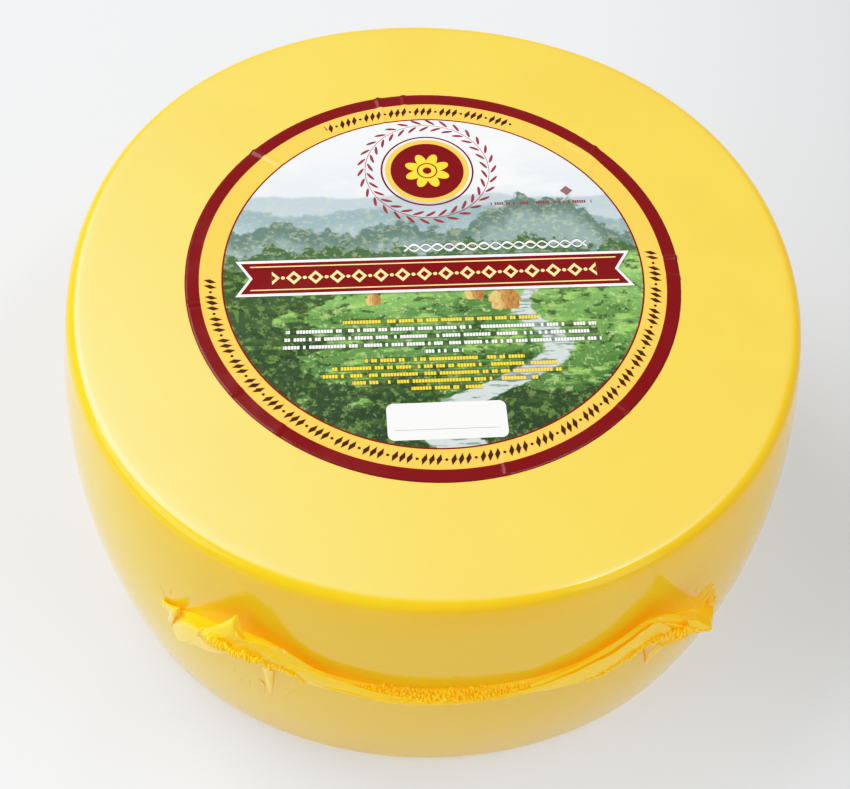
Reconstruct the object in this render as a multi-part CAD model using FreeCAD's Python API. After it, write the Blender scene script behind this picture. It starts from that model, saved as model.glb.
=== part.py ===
"""A whole wheel of semi-hard cheese, shrink-wrapped in yellow film.

Three pieces, each written to its own STEP file in parts/:
  wheel     the cheese in its film: a drum with a flat top and base, a convex side and soft rims
  seam_fin  the bag's sealed edge, which stands out from the front of the side and ends in two ears
  label     the round printed label stuck on the top

Millimetres, +Z up. The origin is the centre of the flat base, and the seam faces -Y.
"""

import FreeCAD, Part
import math
import os

# Wheel
wheel_height = 111.0
wheel_diameter = 250.0          # at the widest line of the side
widest_height = 57.0            # height of that line above the base
side_bulge = 6.2                # how far the widest line stands out past the side's two edges
top_rim_radius = 5.0
base_rim_radius = 7.5
side_levels = 5                 # sections that the side is drawn through
ring_points = 20                # points round each section

# The mould leaves the drum a little out of round: lobes, their height, and where the first one lies
lobes = [
    (2, 0.8, 102.0),
    (3, 0.4, 4.0),
    (4, 0.95, 47.5),
]

# Label
label_diameter = 160.0
label_thickness = 0.2
label_centre = (-0.4, 2.4)

# Seam fin: angles are measured round +Z from +X, so -90 is the front
seam_start = -128.0
seam_end = -44.5
seam_height = 70.0              # where the fin leaves the side, between the ears
seam_reach = 3.4                # how far it stands out there
seam_droop = 3.5                # how far its lip hangs below the height where it leaves the side
lip_thickness = 1.6
seam_bite = 6.0                 # the sections start this far inside the side, and are trimmed to it
end_reach = 0.8                 # what is left of the reach at the seam's two ends
section_spacing = 2.6           # degrees between the fin's sections, or a little less

# Ears: the bag's corners, drawn out near the seam's ends. Rises are above seam_height.
left_ear = {
    "angle": -114.0,            # where its tip lies
    "flank": 13.0,              # degrees from the tip to where the plain seam begins
    "reach": 11.5,
    "lip_rise": 18.0,
    "root_rise": 14.0,
    "root_depth": 16.0,         # height of the side that the ear's foot covers
    "end_rise": -8.0,           # height of the seam's end beyond the ear
}
right_ear = {
    "angle": -51.0,
    "flank": 15.0,
    "reach": 15.0,
    "lip_rise": 17.0,
    "root_rise": 16.0,
    "root_depth": 19.0,
    "end_rise": 18.0,
}
ear_point = 1.8                 # 1 draws an ear's edge straight to its tip, and more hollows it


def side_radius(angle, height):
    """Radius of the side at an angle in degrees and a height."""
    half = wheel_height / 2
    radius = wheel_diameter / 2 - side_bulge * ((height - widest_height) / half) ** 2
    for count, lobe_height, first in lobes:
        radius += lobe_height * math.cos(count * math.radians(angle - first))
    return radius


def at(angle, radius, height):
    turn = math.radians(angle)
    return FreeCAD.Vector(radius * math.cos(turn), radius * math.sin(turn), height)


def level_wire(height):
    """The closed outline of the side at one height."""
    angles = [360.0 * i / ring_points for i in range(ring_points)]
    curve = Part.BSplineCurve()
    curve.interpolate([at(a, side_radius(a, height), height) for a in angles], PeriodicFlag=True)
    return Part.Wire(curve.toShape())


def rim_edges(drum, height):
    """The edges of the drum that lie wholly at one height."""
    found = []
    for edge in drum.Edges:
        box = edge.BoundBox
        if abs(box.ZMin - height) < 0.01 and abs(box.ZMax - height) < 0.01:
            found.append(edge)
    return found


def make_drum():
    """The wheel before its rims are rounded."""
    levels = [wheel_height * i / (side_levels - 1) for i in range(side_levels)]
    return Part.makeLoft([level_wire(z) for z in levels], True, False)


def make_wheel(drum):
    wheel = drum.makeFillet(top_rim_radius, rim_edges(drum, wheel_height))
    return wheel.makeFillet(base_rim_radius, rim_edges(wheel, 0.0))


def make_label():
    centre = FreeCAD.Vector(label_centre[0], label_centre[1], wheel_height)
    return Part.makeCylinder(label_diameter / 2, label_thickness, centre)


def fin_shape(angle):
    """The fin at an angle: its reach, lip height, root height and the depth of its foot."""
    plain = (seam_reach, seam_height - seam_droop, seam_height, lip_thickness)
    for ear, end in ((left_ear, seam_start), (right_ear, seam_end)):
        tip = (ear["reach"], seam_height + ear["lip_rise"], seam_height + ear["root_rise"], ear["root_depth"])
        past_tip = (angle - ear["angle"]) / (end - ear["angle"])
        if past_tip > 0:
            near = max(0.0, 1 - past_tip)
            end_height = seam_height + ear["end_rise"]
            foot = (end_reach, end_height, end_height, lip_thickness)
        else:
            near = max(0.0, 1 - abs(angle - ear["angle"]) / ear["flank"])
            foot = plain
        if past_tip > 0 or near > 0:
            shares = (near ** ear_point, near, near, near)
            return [low + share * (high - low) for low, high, share in zip(foot, tip, shares)]
    return plain


def fin_section(angle):
    """The fin's outline across its run, from inside the side to the lip and back."""
    reach, lip, root, depth = fin_shape(angle)
    outside = side_radius(angle, lip) + reach
    inside = side_radius(angle, root) - seam_bite
    corners = [
        at(angle, inside, root),
        at(angle, outside, lip),
        at(angle, outside, lip - lip_thickness),
        at(angle, inside, root - depth),
    ]
    return Part.makePolygon(corners + corners[:1])


def section_angles():
    """Angles from one end of the seam to the other, with one at each ear's tip."""
    marks = [seam_start, left_ear["angle"], right_ear["angle"], seam_end]
    angles = [seam_start]
    for first, last in zip(marks, marks[1:]):
        count = math.ceil((last - first) / section_spacing)
        angles += [first + (last - first) * i / count for i in range(1, count + 1)]
    return angles


def make_seam_fin(drum):
    """The seam lies well clear of both rims, so it is trimmed to the plain drum."""
    band = Part.makeLoft([fin_section(angle) for angle in section_angles()], True, True)
    return band.cut(drum)


def save(shape, node):
    solid = shape.Solids[0] if len(shape.Solids) == 1 else shape
    solid.exportStep(os.path.join("parts", node + ".step"))
    box = solid.optimalBoundingBox()
    size = "%.1f x %.1f x %.1f mm" % (box.XLength, box.YLength, box.ZLength)
    print(node, size, "volume %.0f mm3" % solid.Volume, "solids", len(solid.Solids), "valid", solid.isValid())


def main():
    os.makedirs("parts", exist_ok=True)
    drum = make_drum()
    save(make_wheel(drum), "wheel")
    save(make_seam_fin(drum), "seam_fin")
    save(make_label(), "label")


main()
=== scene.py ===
import math

import bpy
import numpy as np
from mathutils import Matrix, Vector, noise


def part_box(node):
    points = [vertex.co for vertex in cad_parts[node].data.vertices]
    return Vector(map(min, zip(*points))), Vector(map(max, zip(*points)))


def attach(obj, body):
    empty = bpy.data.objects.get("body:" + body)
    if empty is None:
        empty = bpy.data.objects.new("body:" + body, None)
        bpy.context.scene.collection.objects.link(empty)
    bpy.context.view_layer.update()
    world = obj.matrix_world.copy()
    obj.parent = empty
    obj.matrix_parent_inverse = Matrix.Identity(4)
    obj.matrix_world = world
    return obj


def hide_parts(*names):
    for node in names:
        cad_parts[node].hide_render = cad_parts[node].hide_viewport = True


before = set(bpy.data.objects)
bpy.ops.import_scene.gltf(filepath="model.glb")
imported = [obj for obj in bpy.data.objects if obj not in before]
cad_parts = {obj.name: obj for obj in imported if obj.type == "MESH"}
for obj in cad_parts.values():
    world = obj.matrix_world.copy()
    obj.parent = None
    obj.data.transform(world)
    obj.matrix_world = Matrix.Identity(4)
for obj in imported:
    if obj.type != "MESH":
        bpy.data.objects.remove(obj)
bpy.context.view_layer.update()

# A wheel of semi-hard cheese in glossy yellow film, with the bag's sealed seam round its front
# and a round printed label on its top. Metres, +Z up, seam towards -Y.

mm = 0.001
body = "root"
scene = bpy.context.scene
wheelLow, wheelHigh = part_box("wheel")
labelLow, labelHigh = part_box("label")

wheel = {
    "height": wheelHigh.z,
    "widestHeight": 57.0 * mm,
    "sideBulge": 6.2 * mm,        # how far the belly stands out past the side's edges
    "topRim": 5.0 * mm,
    "baseRim": 7.5 * mm,
    "lobes": [(2, 0.8 * mm, 102.0), (3, 0.4 * mm, 4.0), (4, 0.95 * mm, 47.5)],
}


def lobeHeight(angle):
    total = 0.0
    for count, height, first in wheel["lobes"]:
        total = total + height * np.cos(count * np.radians(angle - first))
    return total


wheelWidth = wheelHigh.x - wheelLow.x
wheel["radius"] = (wheelWidth - lobeHeight(0.0) - lobeHeight(180.0)) / 2


def sideRadius(angle, height):
    half = wheel["height"] / 2
    belly = wheel["sideBulge"] * ((height - wheel["widestHeight"]) / half) ** 2
    return wheel["radius"] - belly + lobeHeight(angle)


def offSide(angle, reach, height):
    # a point that stands out from the side by reach, at an angle in degrees and a height
    radius = sideRadius(angle, height) + reach
    turn = np.radians(angle)
    return np.stack([radius * np.cos(turn), radius * np.sin(turn), height + 0 * turn], -1)


def noiseAt(points, size, seed=0.0, octaves=3):
    # fractal noise, about -1 to 1, for an array of points
    flat = np.asarray(points, float).reshape(-1, 3) / size + seed * 17.3
    values = np.array([noise.fractal(Vector(p), 1.0, 2.0, octaves) for p in flat])
    return values.reshape(np.shape(points)[:-1])


def meshFrom(name, vertices, faces, material, smooth=True):
    mesh = bpy.data.meshes.new(name)
    mesh.from_pydata([tuple(v) for v in vertices], [], faces)
    mesh.validate()
    mesh.materials.append(material)
    mesh.polygons.foreach_set("use_smooth", [smooth] * len(mesh.polygons))
    mesh.update()
    piece = bpy.data.objects.new(name, mesh)
    scene.collection.objects.link(piece)
    return piece


def tubeFaces(rows, columns, closeRows=False, capEnds=False):
    # quads over a grid whose columns run round a loop; rows can close too, or be capped
    index = np.arange(rows * columns).reshape(rows, columns)
    if closeRows:
        index = np.vstack([index, index[:1]])
    nextColumn = np.roll(index, -1, axis=1)
    quads = np.stack([index[:-1], nextColumn[:-1], nextColumn[1:], index[1:]], -1).reshape(-1, 4).tolist()
    if capEnds:
        quads.append(list(index[0][::-1]))
        quads.append(list(index[-1]))
    return quads


def newMaterial(name):
    material = bpy.data.materials.new(name)
    material.use_nodes = True
    tree = material.node_tree
    return material, tree, tree.nodes["Principled BSDF"]


def addNode(tree, kind, **settings):
    node = tree.nodes.new(kind)
    for key, value in settings.items():
        setattr(node, key, value)
    return node


def setInput(tree, socket, value):
    if hasattr(value, "links"):
        tree.links.new(value, socket)
    elif value is not None:
        socket.default_value = value


def calc(tree, operation, first, second=None, third=None):
    node = addNode(tree, "ShaderNodeMath", operation=operation)
    for socket, value in zip(node.inputs, (first, second, third)):
        setInput(tree, socket, value)
    return node.outputs[0]


def ramp(tree, value, low, high, start=0.0, end=1.0, smooth=True):
    node = addNode(tree, "ShaderNodeMapRange", interpolation_type="SMOOTHSTEP" if smooth else "LINEAR")
    for socket, number in zip(node.inputs, (value, low, high, start, end)):
        setInput(tree, socket, number)
    return node.outputs[0]


def noiseNode(tree, vector, scale, detail=3.0, roughness=0.55, distortion=0.0, dimensions="3D"):
    node = addNode(tree, "ShaderNodeTexNoise", noise_dimensions=dimensions)
    setInput(tree, node.inputs["Vector"], vector)
    node.inputs["Scale"].default_value = scale
    node.inputs["Detail"].default_value = detail
    node.inputs["Roughness"].default_value = roughness
    node.inputs["Distortion"].default_value = distortion
    return node.outputs["Fac"]


def stretched(tree, vector, scale=(1, 1, 1), turn=0.0, shift=(0, 0, 0)):
    node = addNode(tree, "ShaderNodeMapping")
    setInput(tree, node.inputs["Vector"], vector)
    node.inputs["Location"].default_value = shift
    node.inputs["Rotation"].default_value = (0, 0, math.radians(turn))
    node.inputs["Scale"].default_value = scale
    return node.outputs["Vector"]


def lay(tree, under, share, over):
    # lays one colour over another where share is 1
    node = addNode(tree, "ShaderNodeMix", data_type="RGBA")
    setInput(tree, node.inputs["Factor"], share)
    setInput(tree, node.inputs[6], under)
    setInput(tree, node.inputs[7], over)
    return node.outputs[2]


def bump(tree, height, strength, distance, under=None):
    node = addNode(tree, "ShaderNodeBump")
    node.inputs["Strength"].default_value = strength
    node.inputs["Distance"].default_value = distance
    setInput(tree, node.inputs["Height"], height)
    setInput(tree, node.inputs["Normal"], under)
    return node.outputs["Normal"]


def ink(red, green, blue):
    # an sRGB colour from 0 to 255 as the linear colour that a shader wants
    channels = [c / 255 for c in (red, green, blue)]
    linear = [c / 12.92 if c <= 0.04045 else ((c + 0.055) / 1.055) ** 2.4 for c in channels]
    return (*linear, 1.0)


film = {
    "yellow": (0.97, 0.555, 0.006, 1.0),
    "deepYellow": (0.96, 0.525, 0.003, 1.0),
    # painted shading of the sides, a second yellow for the same film
    "paintedSideYellow": (0.90, 0.55, 0.014, 1.0),
    "seamYellow": (1.0, 0.57, 0.012, 1.0),
    "seamDeep": (1.0, 0.52, 0.006, 1.0),
    "topRoughness": 0.38,
    "sideRoughness": 0.13,
    "hazeRoughness": 0.45,     # the broad sheen that the top has over its own
    "crinkle": 0.05,
    "glow": 0.6,               # how much light the loose film lets through
    # the colour of the painted glow in hollows and on the loose film
    "paintedGlowColour": (0.84, 0.51, 0.0, 1.0),
    "hollowReach": 7 * mm,     # hollows closer than this get a painted orange glow, an emission that stands in for light through the film
    "paintedHollowGlow": (0.20, 0.08),        # painted glow in hollows, on the skin and on the loose film
    "paintedSeamGlow": 0.11,         # painted glow of the loose film everywhere, an emission that stands in for light through it
    "dents": 0.10,
    "seamRoughness": 0.2,
    "scatterRadius": (1.0, 0.95, 0.8),
    "scatterDepth": 0.7 * mm,
    "ior": 1.43,
    "hazeIor": 2.0,
}


def makeFilm(name, seam=False):
    material, tree, shader = newMaterial(name)
    place = addNode(tree, "ShaderNodeTexCoord").outputs["Object"]
    blotches = ramp(tree, noiseNode(tree, place, 28.0, 4.0), 0.35, 0.7)
    colours = (film["seamYellow"], film["seamDeep"]) if seam else (film["yellow"], film["deepYellow"])
    colour = lay(tree, colours[0], blotches, colours[1])
    axes = addNode(tree, "ShaderNodeSeparateXYZ")
    setInput(tree, axes.inputs[0], place)
    onTop = ramp(tree, axes.outputs["Z"], wheel["height"] - 0.5 * mm, wheel["height"] - 0.02 * mm)
    if seam:
        roughness = film["seamRoughness"]
        shader.inputs["Subsurface Weight"].default_value = film["glow"]
        shader.inputs["Subsurface Radius"].default_value = film["scatterRadius"]
        shader.inputs["Subsurface Scale"].default_value = film["scatterDepth"]
    else:
        # painted shading: the sides below the rim get their own yellow, set apart from the top's to match how
        # the light falls on them
        below = ramp(tree, axes.outputs["Z"], wheel["height"] - 6 * mm, wheel["height"] - 13 * mm)
        colour = lay(tree, colour, below, film["paintedSideYellow"])
        roughness = ramp(tree, onTop, 0.0, 1.0, film["sideRoughness"], film["topRoughness"])
        cloudy = calc(tree, "MULTIPLY", noiseNode(tree, place, 60.0, 3.0), 0.08)
        roughness = calc(tree, "ADD", roughness, calc(tree, "SUBTRACT", cloudy, 0.04))
        setInput(tree, shader.inputs["Coat Weight"], onTop)
        shader.inputs["Coat Roughness"].default_value = film["hazeRoughness"]
        shader.inputs["Coat IOR"].default_value = film["hazeIor"]
    setInput(tree, shader.inputs["Base Color"], colour)
    setInput(tree, shader.inputs["Roughness"], roughness)
    shader.inputs["IOR"].default_value = film["ior"]
    fine = noiseNode(tree, place, 420.0, 2.0)
    dented = bump(tree, noiseNode(tree, place, 24.0, 2.0), film["dents"], 1.0 * mm)
    setInput(tree, shader.inputs["Normal"], bump(tree, fine, film["crinkle"], 0.3 * mm, dented))
    # painted glow: an orange emission, stronger in hollows found by ambient occlusion, that stands in for
    # light through the film and the cheese
    hollow = addNode(tree, "ShaderNodeAmbientOcclusion", samples=8)
    hollow.inputs["Distance"].default_value = film["hollowReach"]
    closed = calc(tree, "SUBTRACT", 1.0, hollow.outputs["AO"])
    light = calc(tree, "MULTIPLY_ADD", closed, film["paintedHollowGlow"][seam], film["paintedSeamGlow"] * seam)
    shader.inputs["Emission Color"].default_value = film["paintedGlowColour"]
    setInput(tree, shader.inputs["Emission Strength"], light)
    return material


filmSkinMaterial = makeFilm("film skin")
seamMaterial = makeFilm("seam film", seam=True)

# The skin: the film drawn tight over the wheel, with more columns where the seam lies
skin = {
    "seamColumns": 380, "otherColumns": 240,
    "seamFrom": -138.0, "seamTo": -34.0,
    "sideRows": 106, "topRows": 30, "rimRows": 10,
}


def rimArc(edgeRadius, slope, rimRadius, rimRows):
    # centre and angles of the rounded rim that touches a leaning side and a flat face
    centre = edgeRadius + rimRadius * math.tan(slope) - rimRadius / math.cos(slope)
    turns = np.linspace(slope, math.pi / 2, rimRows)
    return centre, turns


def skinProfile(angles):
    # radius and height of every row of the skin, for an array of angles
    height, half = wheel["height"], wheel["height"] / 2
    radii, heights = [], []
    topSlope = math.atan(2 * wheel["sideBulge"] * (height - wheel["widestHeight"]) / half ** 2)
    baseSlope = math.atan(2 * wheel["sideBulge"] * wheel["widestHeight"] / half ** 2)
    baseCentre, baseTurns = rimArc(sideRadius(angles, 0.0), baseSlope, wheel["baseRim"], skin["rimRows"])
    topCentre, topTurns = rimArc(sideRadius(angles, height), topSlope, wheel["topRim"], skin["rimRows"])
    for share in (0.0, 0.25, 0.5, 0.75, 0.92):
        radii.append(baseCentre * share)
        heights.append(0.0 * angles)
    for turn in baseTurns[::-1]:
        radii.append(baseCentre + wheel["baseRim"] * np.cos(turn))
        heights.append(0.0 * angles + wheel["baseRim"] * (1 - np.sin(turn)))
    low = wheel["baseRim"] * (1 - math.sin(baseSlope))
    high = height - wheel["topRim"] * (1 - math.sin(topSlope))
    for z in np.linspace(low, high, skin["sideRows"])[1:-1]:
        radii.append(sideRadius(angles, z))
        heights.append(0.0 * angles + z)
    for turn in topTurns:
        radii.append(topCentre + wheel["topRim"] * np.cos(turn))
        heights.append(0.0 * angles + height - wheel["topRim"] * (1 - np.sin(turn)))
    for share in np.linspace(1, 0, skin["topRows"])[1:] ** 0.8:
        radii.append(topCentre * share)
        heights.append(0.0 * angles + height)
    return np.array(radii), np.array(heights)


def makeSkin():
    near = np.linspace(skin["seamFrom"], skin["seamTo"], skin["seamColumns"], endpoint=False)
    far = np.linspace(skin["seamTo"], skin["seamFrom"] + 360, skin["otherColumns"], endpoint=False)
    angles = np.concatenate([near, far])
    radii, heights = skinProfile(angles)
    turns = np.radians(angles)
    points = np.stack([radii * np.cos(turns), radii * np.sin(turns), heights], -1)
    rows, columns = radii.shape
    vertices = points[1:-1].reshape(-1, 3)
    faces = tubeFaces(rows - 2, columns)
    basePole, topPole = len(vertices), len(vertices) + 1
    lastRow = (rows - 3) * columns
    for i in range(columns):
        j = (i + 1) % columns
        faces.append((basePole, j, i))
        faces.append((topPole, lastRow + i, lastRow + j))
    vertices = np.vstack([vertices, [(0, 0, 0), (0, 0, wheel["height"])]])
    return meshFrom("filmSkin", vertices, faces, filmSkinMaterial)


filmSkin = makeSkin()
print("skin made", len(filmSkin.data.polygons))

# The seam: a flap that stands out from the side, its crimped edge, and the loose film beyond it.
# Every place is given as an angle, how far it stands out from the side, and a height, in mm.

seam = {
    "thickness": 0.26 * mm,
    "wallBite": 0.6 * mm,          # how far the flap starts inside the skin
    "alongSpacing": 0.45 * mm,     # mesh size along the seam and across it
    "acrossSteps": 7,              # mesh steps between two points of a section
    "patchSteps": 6,               # the same, in the small sheets
    "crumple": 0.15 * mm,
}

# The flap's sections: angle, height of its root, then reach and height of its belly and crimped edge
flapSections = [
    (-127.8, 70.0, (0.1, 69.9), (0.4, 69.8)),
    (-125.5, 67.0, (0.7, 65.5), (1.5, 62.9)),
    (-123.8, 72.0, (0.9, 71.6), (2.0, 70.4)),
    (-121.5, 75.0, (1.5, 75.2), (3.2, 75.6)),
    (-118.9, 76.6, (3.4, 78.2), (6.5, 81.0)),
    (-117.4, 77.6, (4.6, 79.8), (8.0, 83.6)),
    (-115.4, 79.0, (5.4, 81.4), (9.5, 85.6)),
    (-113.7, 80.0, (5.6, 82.2), (9.9, 85.4)),
    (-111.9, 80.5, (5.0, 81.8), (9.2, 83.8)),
    (-110.3, 80.5, (4.4, 81.2), (8.0, 82.2)),
    (-108.8, 79.8, (3.5, 79.6), (6.2, 79.0)),
    (-107.0, 78.2, (2.9, 77.8), (5.2, 77.0)),
    (-105.3, 76.2, (2.5, 75.5), (4.5, 74.6)),
    (-103.9, 74.4, (2.2, 72.8), (3.8, 70.6)),
    (-102.0, 72.8, (2.0, 71.4), (3.6, 69.7)),
    (-98.0, 71.2, (1.9, 70.6), (3.6, 70.0)),
    (-95.0, 70.6, (1.9, 70.0), (3.5, 69.3)),
    (-92.5, 70.4, (1.8, 69.7), (3.4, 68.8)),
    (-87.0, 70.2, (1.7, 69.4), (3.3, 68.4)),
    (-80.0, 70.3, (1.7, 69.6), (3.4, 68.8)),
    (-76.0, 70.6, (1.7, 70.0), (3.3, 69.3)),
    (-73.5, 71.0, (1.7, 70.0), (3.2, 68.6)),
    (-70.7, 71.6, (1.8, 70.2), (3.5, 67.8)),
    (-67.4, 73.0, (2.0, 71.2), (3.9, 68.0)),
    (-64.2, 75.0, (2.2, 73.0), (4.3, 69.5)),
    (-61.3, 77.5, (2.4, 75.4), (4.5, 72.4)),
    (-59.0, 79.5, (2.6, 78.0), (4.6, 75.4)),
    (-56.5, 81.0, (3.2, 80.2), (5.2, 78.4)),
    (-54.8, 80.5, (4.0, 80.4), (6.4, 79.8)),
    (-53.3, 79.0, (4.6, 79.8), (8.0, 81.4)),
    (-51.8, 77.0, (5.2, 79.0), (10.2, 82.6)),
    (-50.6, 75.0, (6.0, 78.2), (12.2, 82.9)),
    (-49.6, 73.5, (6.4, 77.4), (13.4, 82.6)),
    (-48.4, 71.5, (5.6, 74.2), (11.2, 78.6)),
    (-46.9, 69.0, (4.4, 70.8), (8.8, 73.3)),
    (-44.8, 64.5, (3.0, 65.4), (5.8, 66.9)),
    (-43.0, 60.5, (1.8, 61.2), (3.4, 62.3)),
    (-41.6, 57.5, (0.8, 57.8), (1.6, 58.6)),
    (-40.8, 55.8, (0.2, 55.8), (0.5, 56.0)),
]

# The skirt beyond the crimp: angle, then reach and height of its lower edge, middle and upper edge
skirtSections = [
    (-113.2, (9.0, 85.0), (8.2, 86.8), (7.4, 88.4)),
    (-111.9, (8.6, 83.2), (7.6, 86.2), (6.8, 88.6)),
    (-110.6, (7.7, 81.6), (7.0, 85.0), (6.4, 87.8)),
    (-109.3, (6.6, 79.6), (6.2, 82.8), (5.9, 85.3)),
    (-108.0, (5.7, 77.4), (5.5, 80.4), (5.4, 82.6)),
    (-107.0, (5.0, 76.2), (5.0, 78.4), (5.0, 80.2)),
    (-105.6, (4.4, 74.2), (4.5, 76.6), (4.4, 78.5)),
    (-104.2, (3.8, 70.6), (3.9, 74.2), (3.8, 77.2)),
    (-102.8, (3.6, 69.6), (3.8, 73.6), (3.2, 76.9)),
    (-101.0, (3.6, 69.4), (3.7, 72.8), (3.0, 75.7)),
    (-98.0, (3.7, 69.6), (3.9, 72.0), (3.1, 74.1)),
    (-95.6, (3.8, 68.9), (4.1, 71.0), (3.3, 72.8)),
    (-92.5, (3.7, 68.7), (4.0, 69.9), (3.4, 71.2)),
    (-87.2, (3.6, 68.1), (3.9, 68.9), (3.5, 69.5)),
    (-83.6, (3.5, 68.2), (3.8, 68.9), (3.4, 69.4)),
    (-79.8, (3.5, 68.5), (3.8, 69.2), (3.4, 69.7)),
    (-76.2, (3.6, 69.0), (3.7, 69.7), (3.4, 70.4)),
    (-73.6, (3.4, 68.4), (3.4, 69.6), (3.1, 70.6)),
    (-71.2, (3.4, 67.6), (3.5, 69.8), (3.2, 71.6)),
    (-69.0, (3.6, 67.6), (3.6, 70.8), (3.3, 73.5)),
    (-67.2, (3.8, 67.7), (3.7, 71.4), (3.4, 74.6)),
    (-64.7, (4.2, 69.0), (4.0, 73.4), (3.6, 77.1)),
    (-62.1, (4.3, 71.2), (4.2, 75.4), (3.9, 79.2)),
    (-59.6, (4.4, 74.4), (4.4, 79.0), (4.3, 83.0)),
    (-57.6, (4.6, 76.8), (4.6, 81.6), (4.6, 86.2)),
    (-56.1, (4.9, 78.6), (4.9, 83.4), (4.9, 87.6)),
    (-55.1, (5.8, 79.4), (5.9, 83.4), (6.0, 87.0)),
    (-54.3, (6.8, 80.4), (7.2, 83.0), (7.5, 85.0)),
]

# The folded band behind the skirt's upper edge: angle, then reach and height of its two edges and
# of the hollow or ridge between them
leftBandSections = [
    (-112.4, (7.0, 88.3), (6.0, 87.4), (5.2, 86.8)),
    (-110.9, (6.6, 87.9), (5.5, 86.6), (4.6, 86.7)),
    (-109.4, (6.1, 85.5), (5.0, 84.8), (4.2, 86.2)),
    (-108.0, (5.6, 82.8), (4.5, 82.8), (3.7, 85.1)),
    (-106.9, (5.1, 80.3), (4.1, 80.8), (3.2, 83.1)),
    (-105.5, (4.5, 78.6), (3.6, 79.2), (2.8, 81.5)),
    (-104.1, (3.9, 77.3), (3.2, 77.4), (2.5, 79.2)),
    (-102.7, (3.3, 77.0), (2.8, 76.2), (2.4, 77.2)),
    (-101.0, (3.0, 75.8), (2.7, 75.3), (2.4, 76.0)),
]
rightBandSections = [
    (-73.4, (3.0, 69.4), (2.7, 71.0), (2.4, 71.6)),
    (-71.4, (3.0, 70.4), (2.6, 72.2), (2.1, 73.0)),
    (-69.2, (2.9, 72.2), (2.5, 73.8), (1.8, 73.9)),
    (-67.0, (2.7, 73.6), (2.6, 75.4), (1.7, 75.4)),
    (-64.4, (2.7, 75.6), (2.8, 78.0), (1.8, 78.2)),
    (-61.9, (2.8, 77.8), (3.0, 80.6), (2.0, 81.1)),
    (-59.6, (2.9, 81.0), (3.3, 83.4), (2.1, 83.7)),
    (-57.7, (3.2, 84.0), (3.6, 86.2), (2.3, 86.2)),
    (-56.2, (3.8, 86.2), (4.0, 88.2), (2.7, 87.8)),
]


def throughPoints(points, count):
    # count places along a smooth line through the first axis of points
    points = np.asarray(points, float)
    ends = 2 * points[:1] - points[1:2], 2 * points[-1:] - points[-2:-1]
    padded = np.concatenate([ends[0], points, ends[1]])
    steps = np.linspace(0, len(points) - 1, count)
    first = np.minimum(steps.astype(int), len(points) - 2)
    t = (steps - first).reshape((-1,) + (1,) * (points.ndim - 1))
    a, b, c, d = (padded[first + k] for k in range(4))
    return 0.5 * (2 * b + (c - a) * t + (2 * a - 5 * b + 4 * c - d) * t**2 + (3 * b - a - 3 * c + d) * t**3)


def placed(grid):
    # points given as angle, reach and height in mm, put in their places
    grid = np.asarray(grid, float)
    return offSide(grid[..., 0], grid[..., 1] * mm, grid[..., 2] * mm)


def gridNormals(points):
    along = np.gradient(points, axis=0)
    across = np.gradient(points, axis=1)
    normals = np.cross(along, across)
    return normals / np.maximum(np.linalg.norm(normals, axis=-1, keepdims=True), 1e-12)


def crumpled(points, amount, size, seed, edgeAmount=0.0):
    # creases that grow towards the last column, the sheet's free edge
    ridges = 1 - 2 * np.abs(noiseAt(points, size, seed))
    fine = noiseAt(points, size * 0.35, seed + 5)
    share = np.linspace(0, 1, points.shape[1]) ** 2
    height = (amount + edgeAmount * share) * (0.75 * ridges - 0.35 + 0.35 * fine)
    return points + gridNormals(points) * height[..., None]


def walled(piece):
    wall = piece.modifiers.new("wall", "SOLIDIFY")
    wall.thickness = seam["thickness"]
    wall.offset = 0.0
    return piece


def sheetMesh(name, points):
    rows, columns = points.shape[:2]
    index = np.arange(rows * columns).reshape(rows, columns)
    quads = np.stack([index[:-1, :-1], index[:-1, 1:], index[1:, 1:], index[1:, :-1]], -1)
    return walled(meshFrom(name, points.reshape(-1, 3), quads.reshape(-1, 4).tolist(), seamMaterial))


def lengthAlong(points):
    return float(np.linalg.norm(np.diff(points, axis=0), axis=-1).sum())


def patch(name, grid, amount, size, seed, edgeAmount=0.0):
    # a small sheet through rows of points, its crumpling and the size of that in mm
    steps = seam["patchSteps"]
    points = throughPoints(placed(grid), (len(grid) - 1) * steps + 1).transpose(1, 0, 2)
    points = throughPoints(points, (len(grid[0]) - 1) * steps + 1).transpose(1, 0, 2)
    return sheetMesh(name, crumpled(points, amount * mm, size * mm, seed, edgeAmount * mm))


def sectionSheet(name, sections, seed, edgeAmount, crumple=1.0, size=4.0):
    points = throughPoints(placed(sections), int(lengthAlong(placed(sections)[:, 0]) / seam["alongSpacing"]))
    points = throughPoints(points.transpose(1, 0, 2), (points.shape[1] - 1) * seam["acrossSteps"] + 1)
    points = crumpled(points.transpose(1, 0, 2), seam["crumple"] * crumple, size * mm, seed, edgeAmount)
    return sheetMesh(name, points)


def angleFirst(sections):
    return [[(a, *point) for point in section] for a, *section in sections]


def makeFlap():
    bite = -seam["wallBite"] / mm
    sections = [[(a, bite, root), (a, *belly), (a, *edge)] for a, root, belly, edge in flapSections]
    return sectionSheet("seamFlap", sections, 3, 0.0)


def makeSkirt():
    return sectionSheet("seamSkirt", angleFirst(skirtSections), 8, 0.0, 0.8)


def makeBands():
    left = sectionSheet("leftBand", angleFirst(leftBandSections), 9, 0.10 * mm, 1.1, 3.0)
    right = sectionSheet("rightBand", angleFirst(rightBandSections), 12, 0.05 * mm, 0.7, 5.0)
    return [left, right]


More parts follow.
